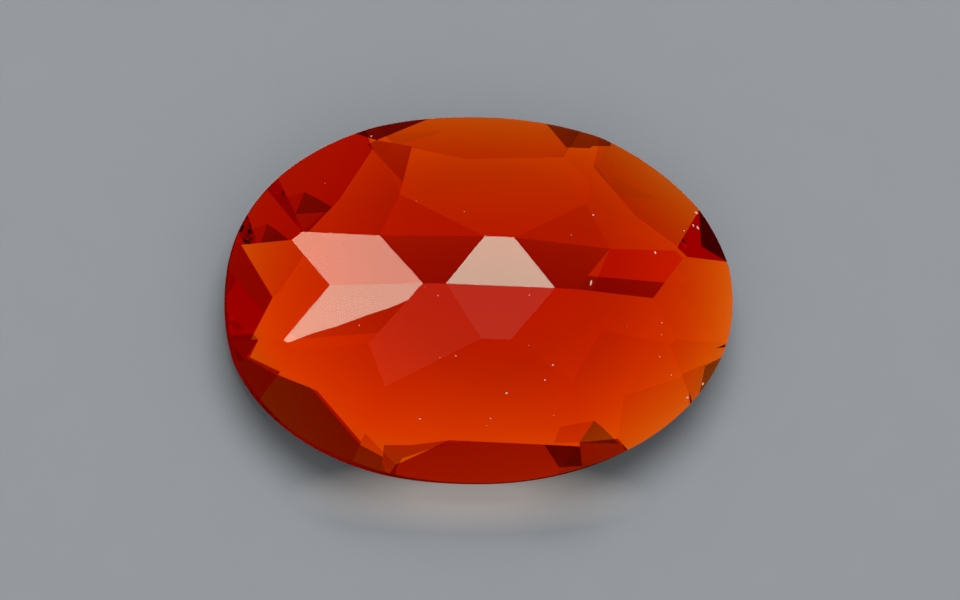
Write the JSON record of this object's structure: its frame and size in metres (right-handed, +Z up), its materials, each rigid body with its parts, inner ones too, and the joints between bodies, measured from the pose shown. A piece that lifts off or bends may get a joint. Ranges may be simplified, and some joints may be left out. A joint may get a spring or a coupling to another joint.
{
  "type": "faceted oval fire opal",
  "caption": "Loose faceted oval orange-red gemstone, with a stepped flat-topped side to rest on and a ridged side above a thin girdle.",
  "frame": {"origin": "middle of the table, the flat face that the stone rests on, under the middle of the oval outline", "axes": "+Z up from the table to the keel, +X along the oval's long axis, +Y across it"},
  "size_m": [0.008, 0.0058, 0.0039],
  "materials": {
    "opal": "polished transparent orange-red"
  },
  "bodies": {
    "root": {"fire_opal": "opal"}
  },
  "joints": []
}
